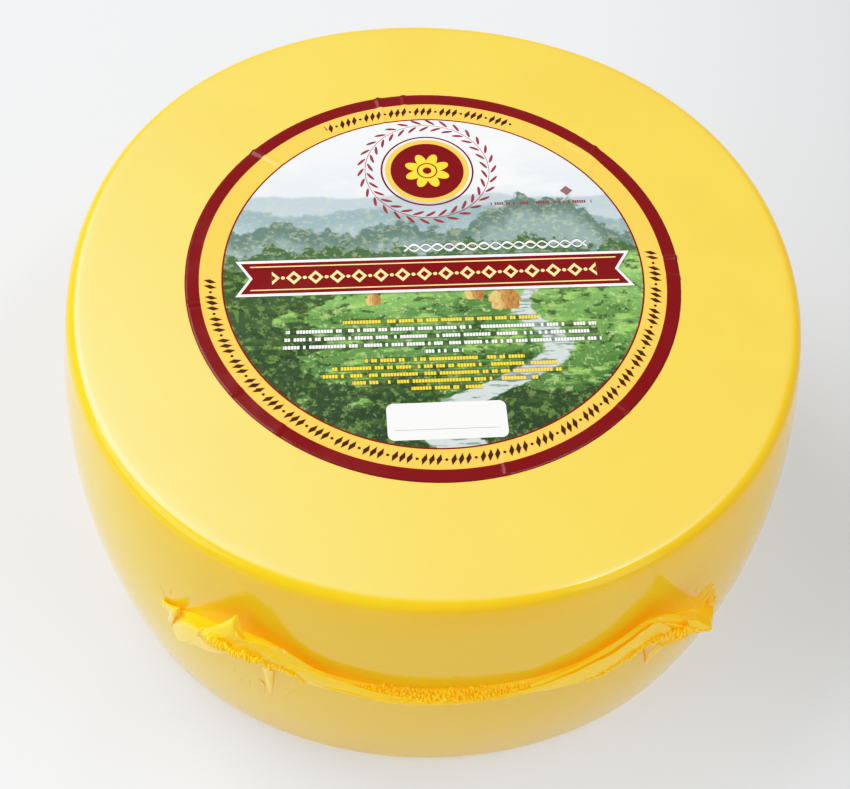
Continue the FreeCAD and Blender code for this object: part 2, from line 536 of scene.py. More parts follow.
# The small sheets of the ears, as rows of points: angle, reach, height
# the corner folded over and hanging
leftLobeGrid = [
    [(-118.8, 6.6, 81.1), (-121.5, 3.3, 75.6), (-123.8, 2.1, 70.4), (-125.5, 1.6, 62.9)],
    [(-118.5, 7.2, 81.6), (-120.5, 5.4, 77.7), (-122.6, 4.2, 71.9), (-125.2, 2.6, 62.5)],
    [(-118.7, 7.2, 79.7), (-120.1, 6.2, 75.5), (-122.1, 5.2, 68.5), (-124.8, 3.4, 59.2)],
    [(-119.3, 6.8, 76.0), (-120.4, 6.2, 70.0), (-122.1, 5.4, 63.8), (-123.7, 4.4, 59.3)],
]
# the bag's bottom edge below the crimp
leftHemGrid = [
    [(-119.5, 6.6, 75.6), (-118.1, 8.0, 80.1), (-116.6, 9.0, 80.6), (-114.8, 9.4, 82.2), (-113.7, 9.4, 83.9)],
    [(-120.5, 6.0, 69.5), (-118.8, 7.4, 75.2), (-116.8, 8.6, 77.8), (-114.9, 9.1, 80.3), (-113.7, 9.1, 82.7)],
    [(-121.9, 5.2, 63.7), (-119.5, 6.8, 70.8), (-117.0, 8.2, 75.1), (-115.0, 8.8, 78.9), (-113.7, 8.9, 81.7)],
]
# the twisted end of the seam
leftTailGrid = [
    [(-125.5, 1.6, 63.1), (-125.3, 2.4, 63.2), (-125.6, 2.2, 60.8)],
    [(-123.8, 2.2, 73.3), (-124.6, 3.2, 70.7), (-126.2, 2.0, 63.1)],
    [(-123.9, 1.6, 75.5), (-124.5, 3.0, 74.0), (-126.6, 1.4, 64.6)],
    [(-124.8, 1.1, 73.3), (-125.5, 2.2, 71.9), (-127.2, 1.0, 65.0)],
    [(-126.3, 0.9, 70.7), (-126.8, 1.4, 69.2), (-127.9, 0.7, 64.9)],
    [(-127.8, 0.4, 69.5), (-127.9, 0.7, 68.3), (-128.4, 0.3, 65.1)],
]
# loose film that stands up behind the left end of the crimp
leftSailGrid = [
    [(-118.1, 7.4, 83.6), (-116.6, 8.4, 85.3), (-115.2, 8.8, 86.9), (-114.4, 8.6, 87.2), (-113.4, 8.4, 86.0)],
    [(-117.9, 7.0, 84.0), (-116.2, 7.6, 87.6), (-114.7, 7.8, 89.3), (-113.6, 7.8, 89.8), (-112.5, 7.2, 88.4)],
    [(-116.5, 6.6, 87.2), (-115.4, 6.8, 89.7), (-114.3, 6.9, 91.7), (-113.6, 6.9, 92.3), (-113.1, 6.6, 90.6)],
    [(-115.2, 5.8, 90.5), (-114.6, 5.9, 91.8), (-114.1, 6.0, 93.0), (-113.8, 6.0, 93.4), (-113.6, 5.9, 93.0)],
    [(-114.3, 5.0, 92.9), (-114.1, 5.0, 93.6), (-113.9, 5.0, 94.1), (-113.8, 5.0, 94.1), (-113.7, 5.0, 94.0)],
    [(-113.8, 4.4, 94.9), (-113.7, 4.4, 95.0), (-113.6, 4.4, 95.1), (-113.6, 4.4, 95.1), (-113.6, 4.4, 95.0)],
]
# the sail's right edge, rolled over
leftSailRollGrid = [
    [(-113.3, 6.7, 90.2), (-112.8, 5.8, 88.1), (-112.2, 5.2, 86.3)],
    [(-113.5, 6.1, 92.8), (-113.2, 5.2, 91.1), (-112.7, 4.4, 88.5)],
    [(-113.7, 5.1, 94.0), (-113.5, 4.6, 92.8), (-113.2, 4.2, 91.6)],
    [(-113.6, 4.4, 95.0), (-113.6, 4.4, 95.0), (-113.5, 4.3, 94.8)],
]
# a scrap curled forward beside it
leftSailCurlGrid = [
    [(-113.2, 6.8, 91.4), (-112.8, 7.2, 91.2), (-112.3, 6.9, 89.8)],
    [(-113.0, 7.5, 90.4), (-112.5, 7.9, 90.2), (-112.1, 7.3, 89.0)],
    [(-112.9, 7.7, 88.6), (-112.4, 7.9, 88.4), (-111.9, 7.0, 88.4)],
]
# loose film over the ear's tip
rightUpperGrid = [
    [(-52.1, 8.8, 86.9), (-51.4, 10.8, 87.6), (-50.9, 12.2, 87.0), (-49.7, 13.4, 82.9)],
    [(-52.1, 9.4, 84.7), (-51.5, 11.2, 85.5), (-50.9, 12.6, 85.6), (-49.7, 13.5, 83.0)],
    [(-52.0, 9.6, 80.0), (-51.3, 11.2, 81.3), (-50.7, 12.6, 82.7), (-49.6, 13.3, 82.2)],
]
# a sheet below the crimp
rightUnderGrid = [
    [(-55.2, 5.4, 77.5), (-54.1, 6.4, 78.9), (-53.2, 7.4, 80.0), (-52.1, 8.8, 81.5)],
    [(-55.0, 4.4, 74.9), (-53.9, 5.2, 75.0), (-52.8, 6.2, 76.4), (-51.8, 7.8, 79.4)],
    [(-54.7, 5.4, 72.3), (-53.9, 6.2, 72.3), (-52.6, 7.6, 74.3), (-51.7, 9.2, 77.6)],
]
# a pleat down the side
rightLegGrid = [
    [(-54.9, 5.0, 74.2), (-55.0, 3.4, 68.5), (-54.8, 1.8, 62.0), (-54.2, 0.5, 55.0), (-53.8, -0.1, 49.0)],
    [(-54.5, 5.8, 72.6), (-54.5, 4.4, 66.7), (-54.4, 2.8, 60.6), (-53.9, 1.2, 53.6), (-53.6, 0.0, 48.0)],
    [(-54.1, 5.2, 70.9), (-54.1, 3.6, 65.0), (-54.1, 2.0, 59.4), (-53.7, 0.6, 52.6), (-53.4, -0.1, 47.4)],
]
# a narrow fold behind the crimp
rightFoldGrid = [
    [(-55.0, 5.6, 86.8), (-54.2, 6.0, 85.9), (-53.4, 6.6, 84.8), (-52.4, 8.0, 83.3)],
    [(-54.7, 6.2, 86.1), (-54.2, 6.8, 86.1), (-53.5, 7.4, 85.1), (-52.5, 8.2, 83.3)],
    [(-54.2, 6.4, 84.2), (-53.9, 6.8, 83.9), (-53.2, 7.6, 83.0), (-52.6, 8.0, 82.5)],
]
# a pleat that runs down the side from the left part of the crimp
leftLegGrid = [
    [(-110.3, 3.4, 71.0), (-110.3, 1.8, 63.0), (-110.3, 0.9, 54.3), (-110.3, 0.1, 43.8)],
    [(-109.7, 3.6, 70.8), (-109.6, 2.0, 63.3), (-109.8, 1.0, 54.7), (-110.2, 0.1, 44.0)],
    [(-108.8, 1.8, 67.1), (-109.2, 0.8, 61.2), (-109.6, 0.2, 53.1), (-110.1, -0.1, 43.6)],
]


def makeLeftEar():
    return [
        patch("leftLobe", leftLobeGrid, 0.10, 4.0, 2),
        patch("leftHem", leftHemGrid, 0.06, 4.0, 6),
        patch("leftTail", leftTailGrid, 0.40, 2.2, 4, 0.1),
        patch("leftSail", leftSailGrid, 0.07, 4.0, 3),
        patch("leftSailRoll", leftSailRollGrid, 0.05, 3.0, 7),
        patch("leftSailCurl", leftSailCurlGrid, 0.22, 1.4, 9),
    ]


def makeRightEar():
    return [
        patch("rightUpper", rightUpperGrid, 0.16, 2.0, 6),
        patch("rightUnder", rightUnderGrid, 0.08, 3.0, 7),
        patch("rightLeg", rightLegGrid, 0.15, 2.5, 8),
        patch("rightFold", rightFoldGrid, 0.05, 3.0, 9),
    ]


def makeLeftLeg():
    return patch("leftLeg", leftLegGrid, 0.08, 3.0, 10)


pillow = {
    "path": [                      # angle, reach, height
        (-58.0, 2.7, 85.6), (-56.6, 3.4, 87.0), (-55.2, 4.2, 87.0), (-53.8, 4.9, 85.9), (-52.4, 6.0, 84.0),
        (-51.5, 7.0, 82.5),
    ],
    "places": [0, 0.15, 0.35, 0.6, 0.85, 0.95, 1.0],    # shares of the path
    "radii": [0.3, 0.7, 1.3, 1.75, 1.8, 1.55, 1.3],     # the tube's radius there, mm
    "rings": 40, "sides": 26,
    "flatness": 0.75,
}


def makePillow():
    # the skirt's right end, rolled into a soft tube with an open end
    path = throughPoints(placed(pillow["path"]), pillow["rings"])
    shares = np.linspace(0, 1, pillow["rings"])
    radii = np.interp(shares, pillow["places"], pillow["radii"]) * mm
    turns = np.linspace(0, 2 * math.pi, pillow["sides"], endpoint=False)
    ahead = np.gradient(path, axis=0)
    ahead = ahead / np.linalg.norm(ahead, axis=-1, keepdims=True)
    sideways = np.cross(ahead, (0, 0, 1))
    sideways = sideways / np.linalg.norm(sideways, axis=-1, keepdims=True)
    upward = np.cross(sideways, ahead)
    ring = sideways[:, None] * np.cos(turns)[None, :, None] * pillow["flatness"]
    ring = ring + upward[:, None] * np.sin(turns)[None, :, None]
    points = path[:, None] + ring * radii[:, None, None]
    faces = tubeFaces(pillow["rings"], pillow["sides"])
    return walled(meshFrom("rightPillow", points.reshape(-1, 3), faces, seamMaterial))


crimp = {
    # spacing in mm, share of a chip's size that it may lie off the line, slant in degrees, random turn
    "ears": (0.85, 0.22, 32.0, 0.6),
    "middle": (1.05, 0.4, 0.0, 1.0),
    "seed": 7,
    "chipRings": 6, "chipSegments": 10,
    "chipShape": (1.0, 1.15, 0.36),    # along the curve's normal, across it, and along its run
    "crush": 0.34,             # share of a chip's size that its faces are pushed in or out
    "lumpScale": 900,
}

# The crimp's lines: angle, reach, height, and the size of its pleats, in mm
leftCrimpLine = [
    (-118.0, 7.6, 83.8, 1.6), (-117.4, 8.3, 84.2, 3.0), (-116.5, 9.0, 84.8, 3.2), (-115.2, 9.8, 86.2, 3.4),
    (-113.8, 10.1, 86.0, 2.6), (-112.6, 9.8, 84.6, 2.3), (-111.4, 9.0, 84.1, 2.6), (-110.2, 8.2, 82.6, 2.6),
    (-108.8, 6.5, 79.3, 2.4), (-107.0, 5.4, 77.3, 2.1), (-105.3, 4.7, 74.8, 1.7), (-104.0, 4.1, 71.2, 1.0),
]
rightCrimpLine = [
    (-65.8, 4.2, 68.6, 0.9), (-63.4, 4.6, 69.8, 1.4), (-61.3, 4.8, 72.4, 1.6), (-59.0, 4.9, 75.4, 1.7),
    (-57.0, 5.1, 77.8, 1.9), (-55.6, 5.7, 79.8, 2.4), (-54.5, 7.1, 81.3, 2.9), (-53.5, 8.4, 82.4, 3.1),
    (-52.6, 9.6, 82.8, 2.6), (-51.9, 10.6, 83.6, 1.9), (-51.0, 12.2, 84.2, 1.6), (-50.0, 13.3, 83.2, 1.0),
]


# The crushed middle: angle, reach of its inner and outer edge, height, and the size of its chips, in mm
gritSections = [
    (-98.2, 1.6, 2.4, 71.4, 0.5), (-96.0, 1.2, 2.8, 71.0, 1.0), (-93.0, 0.6, 3.2, 70.4, 1.4),
    (-90.0, 0.4, 3.4, 69.9, 1.55), (-86.0, 0.4, 3.5, 69.6, 1.6), (-82.0, 0.4, 3.6, 69.6, 1.6),
    (-78.5, 0.6, 3.5, 69.9, 1.4), (-75.5, 1.0, 3.0, 70.4, 1.0), (-73.4, 1.5, 2.4, 70.9, 0.5),
]
gritRows = (0.10, 0.32, 0.54, 0.76, 0.97)      # where its rows lie, from the side outwards
gritRise, gritFall = 0.8, 0.4 / 1.7            # height over the section at the side, and fall per mm of reach


def gritLines():
    lines = []
    for share in gritRows:
        line = []
        for angle, inner, outer, height, size in gritSections:
            reach = inner + (outer - inner) * share
            line.append((angle, reach, height + gritRise - gritFall * reach, size))
        lines.append(line)
    return lines


def wired(tree, kind, inputs, **settings):
    # a node with its inputs linked or set
    node = addNode(tree, kind, **settings)
    for socket, value in inputs.items():
        setInput(tree, node.inputs[socket], value)
    return node


def startTree(name, sizes):
    # a Geometry Nodes tree with named inputs, and their outputs inside it
    tree = bpy.data.node_groups.new(name, "GeometryNodeTree")
    face = tree.interface
    for socket, kind in (("Geometry", "Geometry"), *sizes, ("Material", "Material")):
        face.new_socket(socket, in_out="INPUT", socket_type="NodeSocket" + kind)
    face.new_socket("Geometry", in_out="OUTPUT", socket_type="NodeSocketGeometry")
    return tree, addNode(tree, "NodeGroupInput").outputs


def endTree(tree, given, geometry, lumpScale, lumpDetail, amount):
    # realizes the geometry, pushes it in and out by noise, and gives it its material
    real = wired(tree, "GeometryNodeRealizeInstances", {"Geometry": geometry})
    where = addNode(tree, "GeometryNodeInputPosition").outputs[0]
    lumps = wired(tree, "ShaderNodeTexNoise", {"Vector": where, "Scale": lumpScale, "Detail": lumpDetail})
    centred = wired(tree, "ShaderNodeVectorMath", {0: lumps.outputs["Color"], 1: (0.5, 0.5, 0.5)},
                    operation="SUBTRACT")
    push = wired(tree, "ShaderNodeVectorMath", {0: centred.outputs[0], "Scale": amount}, operation="SCALE")
    dent = wired(tree, "GeometryNodeSetPosition", {"Geometry": real.outputs[0], "Offset": push.outputs[0]})
    smooth = wired(tree, "GeometryNodeSetShadeSmooth", {"Geometry": dent.outputs[0]})
    dress = wired(tree, "GeometryNodeSetMaterial", {
        "Geometry": smooth.outputs[0], "Material": given["Material"]})
    wired(tree, "NodeGroupOutput", {"Geometry": dress.outputs[0]})
    return tree


def sizeAlong(tree, attribute):
    node = wired(tree, "GeometryNodeInputNamedAttribute", {"Name": attribute}, data_type="FLOAT")
    return node.outputs[0]


def scatter(tree, seed, scale):
    # a random vector for each point, each axis from -1 to 1, times scale
    limits = {"Min": (-1, -1, -1), "Seed": seed}
    chance = wired(tree, "FunctionNodeRandomValue", limits, data_type="FLOAT_VECTOR")
    scaled = wired(tree, "ShaderNodeVectorMath", {0: chance.outputs[0], "Scale": scale}, operation="SCALE")
    return scaled.outputs[0]


def crimpTree():
    # flattened chips set along a line, leaning and jumbled
    tree, given = startTree("crimp pleats", (
        ("Spacing", "Float"), ("Jitter", "Float"), ("Crush", "Float"), ("Slant", "Float"), ("Turn", "Float"),
        ("Seed", "Int")))
    size = sizeAlong(tree, "chipSize")
    curve = wired(tree, "GeometryNodeMeshToCurve", {"Mesh": given["Geometry"]}).outputs[0]
    spread = wired(tree, "GeometryNodeCurveToPoints", {
        "Curve": curve, "Length": given["Spacing"]}, mode="LENGTH")
    moved = scatter(tree, given["Seed"], calc(tree, "MULTIPLY", given["Jitter"], size))
    points = wired(tree, "GeometryNodeSetPosition", {"Geometry": spread.outputs["Points"], "Offset": moved})
    ball = wired(tree, "GeometryNodeMeshUVSphere", {
        "Segments": crimp["chipSegments"], "Rings": crimp["chipRings"], "Radius": 0.5})
    chip = wired(tree, "GeometryNodeTransform", {
        "Geometry": ball.outputs["Mesh"], "Scale": crimp["chipShape"]})
    lean = wired(tree, "ShaderNodeCombineXYZ", {0: given["Slant"]})
    leaning = wired(tree, "ShaderNodeVectorMath", {
        0: scatter(tree, given["Seed"], given["Turn"]), 1: lean.outputs[0]}, operation="ADD")
    rotation = wired(tree, "FunctionNodeEulerToRotation", {0: leaning.outputs[0]})
    turned = wired(tree, "FunctionNodeRotateRotation", {
        "Rotation": spread.outputs["Rotation"], "Rotate By": rotation.outputs[0]}, rotation_space="LOCAL")
    chips = wired(tree, "GeometryNodeInstanceOnPoints", {
        "Points": points.outputs[0], "Instance": chip.outputs[0],
        "Rotation": turned.outputs[0], "Scale": size})
    crush = calc(tree, "MULTIPLY", given["Crush"], size)
    return endTree(tree, given, chips.outputs[0], crimp["lumpScale"], 1.0, crush)


crimpPleats = crimpTree()


def plainCopy(name, piece):
    # the piece as its modifiers leave it, as a plain mesh on a new object
    scene.view_layers[0].update()
    mesh = bpy.data.meshes.new_from_object(piece.evaluated_get(bpy.context.evaluated_depsgraph_get()))
    mesh.name = name
    bpy.data.objects.remove(piece)
    plain = bpy.data.objects.new(name, mesh)
    scene.collection.objects.link(plain)
    return plain


def linesPiece(name, lines, attribute):
    # edges through each line's points, which carry a size in metres
    points, edges, sizes = [], [], []
    for line in lines:
        line = throughPoints(line, len(line) * 8)
        first = len(points)
        points.extend(tuple(p) for p in placed(line[:, :3]))
        edges.extend((first + i, first + i + 1) for i in range(len(line) - 1))
        sizes.extend(line[:, 3] * mm)
    mesh = bpy.data.meshes.new(name)
    mesh.from_pydata(points, edges, [])
    mesh.attributes.new(attribute, "FLOAT", "POINT").data.foreach_set("value", sizes)
    piece = bpy.data.objects.new(name, mesh)
    scene.collection.objects.link(piece)
    return piece


def grownAlong(name, piece, tree, values):
    # the tree's modifier with its inputs set by the sockets' identifiers, made a plain mesh
    grow = piece.modifiers.new("grow", "NODES")
    grow.node_group = tree
    given = {s.name: s.identifier for s in tree.interface.items_tree if s.in_out == "INPUT"}
    for key, value in values.items():
        grow[given[key]] = value
    return plainCopy(name, piece)


def makeCrimp(name, lines, kind, side, seedShift):
    spacing, jitter, slant, turn = crimp[kind]
    values = {
        "Spacing": spacing * mm, "Jitter": jitter, "Crush": crimp["crush"],
        "Slant": math.radians(slant * side),
        "Turn": turn, "Seed": crimp["seed"] + seedShift, "Material": seamMaterial,
    }
    return grownAlong(name, linesPiece(name, lines, "chipSize"), crimpPleats, values)


# Small pleats and puckers of the film on the side: angle, reach, height and half width, in mm
puckerLines = [
    [(-115.5, 0.0, 54.4, 0.10), (-115.8, 0.1, 51.8, 0.30), (-116.5, 0.0, 46.4, 0.10)],
    [(-114.8, 0.0, 48.4, 0.10), (-114.9, 0.1, 44.9, 0.30), (-114.9, 0.0, 40.6, 0.10)],
    [(-113.5, 0.0, 50.8, 0.10), (-113.5, 0.1, 46.0, 0.35), (-113.6, 0.0, 40.5, 0.10)],
    [(-112.4, 0.0, 47.0, 0.10), (-111.9, 0.2, 51.5, 0.50), (-111.6, 0.0, 53.9, 0.15)],
    [(-111.6, 0.0, 54.0, 0.20), (-111.1, 0.3, 51.4, 0.55), (-111.1, 0.2, 47.7, 0.45),
     (-111.1, 0.0, 42.4, 0.10)],
    [(-111.9, 0.0, 51.5, 0.15), (-111.9, 0.1, 47.3, 0.35), (-111.8, 0.0, 42.6, 0.10)],
    [(-108.9, 0.0, 42.4, 0.15), (-107.9, 0.2, 47.7, 0.45), (-106.8, 0.2, 52.2, 0.45),
     (-105.6, 0.0, 58.0, 0.15)],
    [(-106.1, 0.0, 61.8, 0.10), (-106.1, 0.1, 59.3, 0.30), (-106.3, 0.0, 55.6, 0.10)],
    [(-105.5, 0.0, 63.1, 0.15), (-104.9, 0.3, 62.8, 0.55), (-104.3, 0.0, 61.8, 0.15)],
    [(-107.9, 0.0, 53.4, 0.10), (-107.3, 0.1, 53.5, 0.30), (-106.8, 0.0, 54.9, 0.10)],
    [(-46.9, 0.1, 71.0, 0.50), (-45.6, 0.5, 72.5, 1.30), (-44.5, 0.6, 73.6, 1.40), (-42.8, 0.2, 74.8, 0.55)],
    [(-45.2, 0.1, 67.4, 0.50), (-43.9, 0.6, 69.1, 1.25), (-43.3, 0.6, 70.5, 1.25), (-42.4, 0.2, 73.2, 0.45)],
    [(-42.6, 0.4, 61.4, 0.50), (-42.6, 0.8, 64.5, 1.25), (-42.1, 0.7, 66.1, 1.15), (-41.2, 0.2, 67.4, 0.40)],
    [(-42.6, 0.7, 61.8, 0.60), (-41.8, 1.2, 60.4, 1.05), (-41.1, 1.1, 59.6, 1.00), (-40.8, 0.5, 61.4, 0.50)],
    [(-48.1, 0.0, 75.5, 0.10), (-47.6, 0.1, 76.6, 0.25), (-47.2, 0.0, 77.4, 0.10)],
    [(-46.8, 0.0, 78.6, 0.10), (-46.6, 0.1, 80.0, 0.35), (-46.6, 0.0, 81.6, 0.10)],
    [(-127.6, 0.0, 70.4, 0.15), (-127.9, 0.1, 73.0, 0.30), (-128.6, 0.0, 77.0, 0.10)],
    [(-126.6, 0.0, 74.4, 0.10), (-126.3, 0.1, 77.0, 0.35), (-126.2, 0.0, 80.5, 0.10)],
]


def puckerTree():
    # a ridge along each line, as wide as its points say
    tree, given = startTree("puckers", (("Sides", "Int"), ("Crush", "Float")))
    curve = wired(tree, "GeometryNodeMeshToCurve", {"Mesh": given["Geometry"]}).outputs[0]
    outline = wired(tree, "GeometryNodeCurvePrimitiveCircle", {"Radius": 1.0, "Resolution": given["Sides"]})
    ridge = wired(tree, "GeometryNodeCurveToMesh", {
        "Curve": curve, "Profile Curve": outline.outputs["Curve"], "Scale": sizeAlong(tree, "halfWidth"),
        "Fill Caps": True})
    return endTree(tree, given, ridge.outputs[0], puckers["lumpScale"], 2.0, given["Crush"])


# The rolled lip below the crushed middle: angle, reach, height and half width, in mm
lipLine = [
    (-102.5, 3.6, 70.8, 0.15), (-99.0, 3.8, 70.6, 0.50), (-95.5, 3.9, 69.8, 0.75), (-92.0, 4.0, 69.1, 0.85),
    (-88.0, 4.0, 68.7, 0.80), (-84.0, 3.9, 68.7, 0.65), (-80.0, 3.8, 69.0, 0.55), (-76.0, 3.7, 69.4, 0.40),
    (-73.0, 3.5, 69.2, 0.15),
]


puckers = {
    "sides": 10, "crush": 0.3 * mm,
    "lipSides": 12, "lipCrush": 0.5 * mm,
    "sunk": 0.8,                   # share of its half width that a pucker lies in the skin
    "lumpScale": 600,
}
ridges = puckerTree()


def makeLip():
    values = {"Sides": puckers["lipSides"], "Crush": puckers["lipCrush"], "Material": seamMaterial}
    return grownAlong("seamLip", linesPiece("lip", [lipLine], "halfWidth"), ridges, values)


def makePuckers():
    values = {"Sides": puckers["sides"], "Crush": puckers["crush"], "Material": filmSkinMaterial}
    sunk = [[(a, r - puckers["sunk"] * w, z, w) for a, r, z, w in line] for line in puckerLines]
    return grownAlong("sidePuckers", linesPiece("puckers", sunk, "halfWidth"), ridges, values)


seamPieces = [makeFlap(), makeSkirt(), *makeBands(), *makeLeftEar(), *makeRightEar(), makePillow()]
seamPieces.append(makeLeftLeg())
seamPieces.append(makeCrimp("crimpLeft", [leftCrimpLine], "ears", 1, 0))
seamPieces.append(makeCrimp("crimpMiddle", gritLines(), "middle", 1, 1))
seamPieces.append(makeCrimp("crimpRight", [rightCrimpLine], "ears", -1, 2))
seamPieces.append(makeLip())
sidePuckers = makePuckers()
print("seam made", len(seamPieces))

# The label: a glossy printed disc, a little creased at its rim
label = {
    "radius": (labelHigh.x - labelLow.x) / 2,
    "centre": ((labelLow.x + labelHigh.x) / 2, (labelLow.y + labelHigh.y) / 2),
    "thickness": 0.13 * mm,
    "sunk": 0.05 * mm,         # how far its edge reaches into the film
    "rings": 64, "segments": 1080,
    "roughness": 0.22, "specular": 0.24,
    "creaseWidth": 0.85 * mm,
    "tilt": 6.8,               # degrees that the print is turned
}

# Creases of the label's rim: their two ends in mm from its centre, and their height in mm
labelCreases = [
    ((-66, 49), (-53, 42), 0.70), ((-24, 78), (-20, 64), 0.70), ((-15, 80), (-13, 69), 0.52),
    ((44, 60), (58, 51), 0.90), ((53, 60), (50, 47), 0.50),
    ((80, 13), (69, 11), 0.75), ((80, 4), (71, 6), 0.50),
    ((-78, -20), (-66, -17), 0.55), ((-45, -68), (-40, -58), 0.65), ((-60, -54), (-52, -47), 0.45),
    ((26, -78), (24, -67), 0.45), ((62, -50), (55, -44), 0.50),
]

printing = {
    "maroon": ink(116, 0, 4), "yellow": ink(252, 208, 52), "brown": ink(56, 26, 8),
    "white": ink(247, 247, 244), "cream": ink(250, 228, 150), "gold": ink(250, 188, 78),
    "outerRing": 75.4, "yellowRing": 68.3, "pictureEdge": 67.7,      # radii, mm
    "borderCells": 204, "borderRadius": 71.9,
}


def labelRelief(x, y):
    # height of the label's creases at places in metres from its centre
    height = 0.0 * x
    for start, end, rise in labelCreases:
        start, end = np.array(start) * mm, np.array(end) * mm
        along = end - start
        share = ((x - start[0]) * along[0] + (y - start[1]) * along[1]) / (along @ along)
        nearX = x - start[0] - np.clip(share, 0, 1) * along[0]
        nearY = y - start[1] - np.clip(share, 0, 1) * along[1]
        distance = np.hypot(nearX, nearY)
        fade = 1 - 0.75 * np.clip(share, 0, 1)
        height = np.maximum(height, rise * mm * fade * np.exp(-(distance / label["creaseWidth"]) ** 2))
    return height


def makeLabelSheet(material):
    radii = label["radius"] * np.linspace(0, 1, label["rings"])[1:] ** 0.7
    turns = np.linspace(0, 2 * math.pi, label["segments"], endpoint=False)
    x = radii[:, None] * np.cos(turns)[None]
    y = radii[:, None] * np.sin(turns)[None]
    top = wheel["height"] + label["thickness"] + labelRelief(x, y)
    points = np.stack([x + label["centre"][0], y + label["centre"][1], top], -1)
    foot = points[-1:].copy()
    low, high = wheel["height"] - label["sunk"], wheel["height"] + label["thickness"]
    foot[..., 2] = low
    points = np.concatenate([points, foot])
    rows, columns = points.shape[:2]
    centres = [(*label["centre"], high), (*label["centre"], low)]
    vertices = np.vstack([points.reshape(-1, 3), centres])
    faces = [face[::-1] for face in tubeFaces(rows, columns)]
    centreTop, centreFoot, last = rows * columns, rows * columns + 1, (rows - 1) * columns
    for i in range(columns):
        j = (i + 1) % columns
        faces.append((centreTop, i, j))
        faces.append((centreFoot, last + j, last + i))
    return meshFrom("labelSheet", vertices, faces, material)


class Painter:
    # lays shapes on a print, one over another; sizes are in mm from the label's centre
    def __init__(self, tree, vector, paper):
        self.tree = tree
        axes = addNode(tree, "ShaderNodeSeparateXYZ")
        setInput(tree, axes.inputs[0], vector)
        self.vector, self.across, self.up = vector, axes.outputs["X"], axes.outputs["Y"]
        self.colour = paper

    def calc(self, operation, first, second=None):
        return calc(self.tree, operation, first, second)

    def times(self, first, second):
        return self.calc("MULTIPLY", first, second)

    def plus(self, first, second):
        return self.calc("ADD", first, second)

    def minus(self, first, second):
        return self.calc("SUBTRACT", first, second)

    def over(self, first, second):
        return self.calc("DIVIDE", first, second)

    def within(self, value, limit, soft=0.08):
        return ramp(self.tree, value, limit - soft, limit + soft, 1.0, 0.0)

    def between(self, value, low, high, soft=0.08):
        inside = ramp(self.tree, value, low - soft, low + soft)
        return self.times(inside, self.within(value, high, soft))

    def away(self, value, centre):
        return self.calc("ABSOLUTE", self.minus(value, centre))

    def length(self, first, second):
        return self.calc("SQRT", self.plus(self.times(first, first), self.times(second, second)))

    def radiusFrom(self, x, y):
        across = self.minus(self.across, x)
        up = self.minus(self.up, y)
        return self.length(across, up), self.calc("ARCTAN2", up, across)

    def roundedBox(self, x, y, halfWidth, halfHeight, corner):
        wide = self.calc("MAXIMUM", self.minus(self.away(self.across, x), halfWidth - corner), 0.0)
        tall = self.calc("MAXIMUM", self.minus(self.away(self.up, y), halfHeight - corner), 0.0)
        return self.within(self.length(wide, tall), corner)

    def noise(self, scale, stretch=(1, 1, 1), seed=0.0, detail=3.0):
        moved = stretched(self.tree, self.vector, stretch, 0.0, (seed * 31.7, seed * 12.9, seed * 7.1))
        return noiseNode(self.tree, moved, scale, detail)

    def paint(self, mask, colour, strength=1.0):
        share = mask if strength == 1.0 else self.times(mask, strength)
        self.colour = lay(self.tree, self.colour, share, colour)


def paintLandscape(art):
    # a made-up valley: pale sky, misty hills, round trees, a meadow with a stream and hayricks
    art.paint(ramp(art.tree, art.up, 64.0, 34.0), ink(214, 224, 230))
    art.paint(ramp(art.tree, art.noise(0.028, (1, 2.4, 1), 1.0), 0.50, 0.66), ink(247, 248, 249), 0.8)
    ranges = [
        (33.0, 16.0, 0.020, 0.6, ink(170, 186, 194), 2.0), (27.0, 22.0, 0.030, 1.6, ink(138, 160, 164), 3.0),
        (19.0, 30.0, 0.042, 3.4, ink(92, 118, 108), 4.0), (11.0, 24.0, 0.060, 4.6, ink(66, 98, 58), 5.0),
    ]
    for height, swing, scale, ragged, colour, seed in ranges:
        outline = art.times(art.minus(art.noise(scale, (1, 0.02, 1), seed, 2.0), 0.5), swing)
        crowns = art.times(art.minus(art.noise(0.34, (1, 1, 1), seed, 4.0), 0.5), ragged * 3)
        skyline = art.plus(art.plus(outline, crowns), height)
        if height == 19.0:         # this range climbs to a wooded hill on the right
            skyline = art.plus(skyline, ramp(art.tree, art.away(art.across, 36.0), 27.0, 10.0, 0.0, 11.0))
        mask = ramp(art.tree, art.minus(art.up, skyline), -1.0, 0.7, 1.0, 0.0)
        art.paint(mask, colour)
        lit = art.times(mask, ramp(art.tree, art.noise(0.5, (1, 1.2, 1), seed + 8, 4.0), 0.50, 0.64))
        pale = lay(art.tree, colour, 0.5, ink(196, 200, 150))
        art.paint(lit, pale, 0.65)
        mist = ramp(art.tree, art.minus(art.up, skyline), -3.0, -11.0)
        art.paint(art.times(mask, mist), ink(186, 204, 204), 0.34)
    paintMeadow(art)


